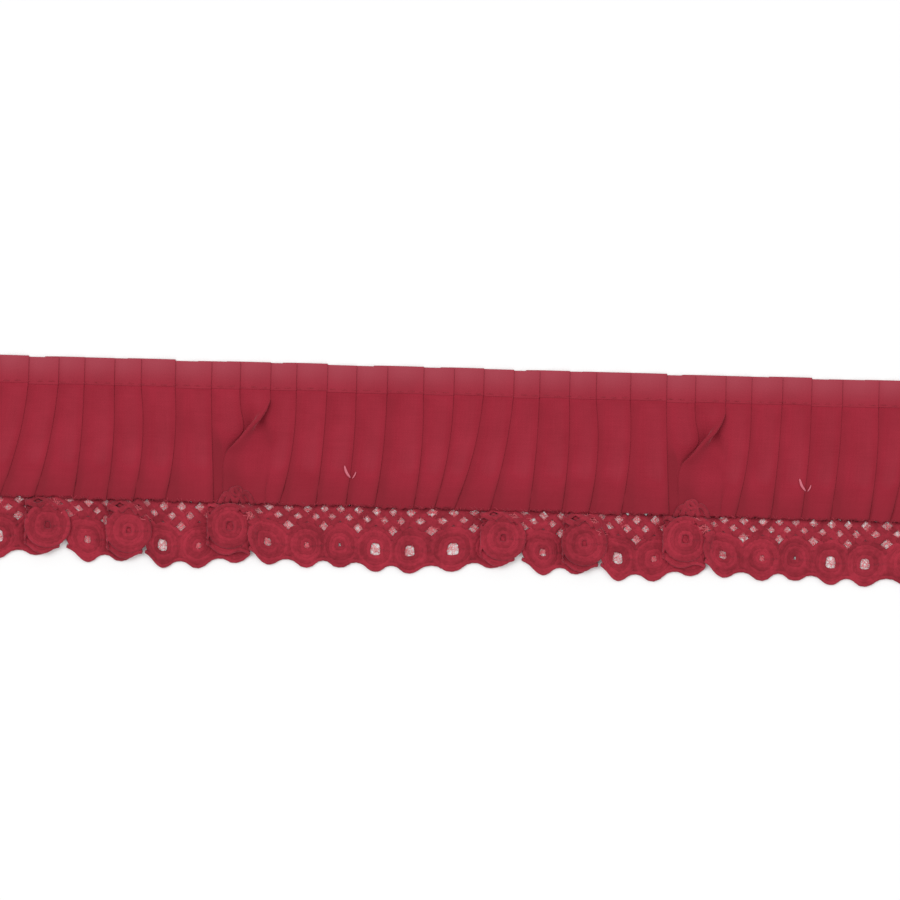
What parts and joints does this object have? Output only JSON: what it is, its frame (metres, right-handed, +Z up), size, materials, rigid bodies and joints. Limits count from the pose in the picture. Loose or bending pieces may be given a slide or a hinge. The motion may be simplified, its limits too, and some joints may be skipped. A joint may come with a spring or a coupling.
{
  "type": "length of pleated ribbon trim with lace edging",
  "caption": "Flat length of knife-pleated ribbon trim with a turned-down stitched heading and a scalloped lace edging of round motifs.",
  "frame": {"origin": "middle of the trim's box, on the surface that it lies on", "axes": "+X along the trim, the way the pleats point; +Y from the lace to the heading; +Z up, out of the face of the trim"},
  "size_m": [0.236, 0.05, 0.0051],
  "materials": {
    "ribbon_cloth": "plain-woven crimson cloth, soft sheen",
    "lace_yarn": "matt crimson lace yarn"
  },
  "bodies": {
    "root": {"pleated_ribbon": "ribbon_cloth", "lace_edging": "lace_yarn"}
  },
  "joints": []
}
